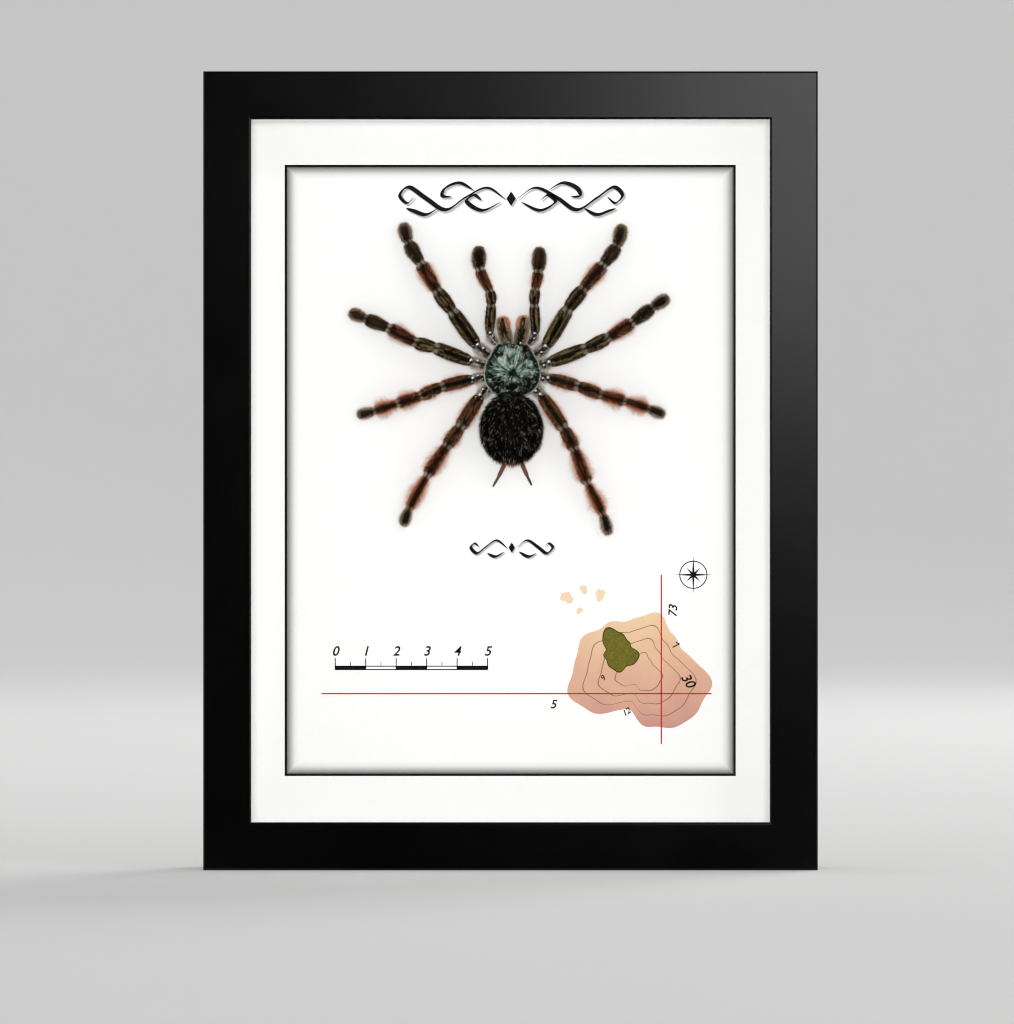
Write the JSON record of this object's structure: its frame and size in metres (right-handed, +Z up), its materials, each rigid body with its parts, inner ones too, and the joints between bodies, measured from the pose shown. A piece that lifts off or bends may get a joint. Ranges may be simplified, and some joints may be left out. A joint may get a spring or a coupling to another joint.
{
  "type": "framed tarantula specimen",
  "caption": "Dried tarantula with spread hairy legs, mounted on a white printed card behind glass in a deep satin black box frame that stands or hangs.",
  "frame": {"origin": "middle of the frame's underside, on the surface that it stands on", "axes": "+X to the viewer's right, +Y away from the viewer through the depth of the frame, +Z up"},
  "size_m": [0.2, 0.035, 0.26],
  "materials": {
    "frame_black": "smooth satin black paint",
    "glass": "clear picture glass",
    "spacer_white": "matt white strip",
    "printed_card": "smooth matt white card with a black rule and a soft grey inner shade",
    "foam_board": "matt",
    "hardboard": "brown pressed fibre board",
    "tab_steel": "zinc plated",
    "hanger_brass": "brass plated, a little dull",
    "glue": "cloudy hot-melt glue",
    "carapace": "dark hide under short metallic green and grey hairs",
    "abdomen_velvet": "black velvet of short bristles",
    "chelicerae": "dark brown with rust hairs",
    "leg_hide": "dark brown with rust and olive grey hairs",
    "spinnerets": "matt greyish brown"
  },
  "bodies": {
    "root": {"frame_top": "frame_black", "frame_bottom": "frame_black", "frame_left": "frame_black", "frame_right": "frame_black", "glazing": "glass", "spacer_top": "spacer_white", "spacer_bottom": "spacer_white", "spacer_left": "spacer_white", "spacer_right": "spacer_white", "display_card": "printed_card", "mount_board": "foam_board", "back_panel": "hardboard", "tab_bottom_left": "tab_steel", "tab_bottom_right": "tab_steel", "tab_top_left": "tab_steel", "tab_top_right": "tab_steel", "tab_left_lower": "tab_steel", "tab_left_upper": "tab_steel", "tab_right_lower": "tab_steel", "tab_right_upper": "tab_steel", "sawtooth_hanger": "hanger_brass", "hanger_nail_left": "hanger_brass", "hanger_nail_right": "hanger_brass", "glue_dab": "glue", "cephalothorax": "carapace", "abdomen": "abdomen_velvet", "chelicera_left": "chelicerae", "chelicera_right": "chelicerae", "pedipalp_left": "leg_hide", "pedipalp_right": "leg_hide", "leg_1_left": "leg_hide", "leg_1_right": "leg_hide", "leg_2_left": "leg_hide", "leg_2_right": "leg_hide", "leg_3_left": "leg_hide", "leg_3_right": "leg_hide", "leg_4_left": "leg_hide", "leg_4_right": "leg_hide", "spinneret_left": "spinnerets", "spinneret_right": "spinnerets"}
  },
  "joints": []
}
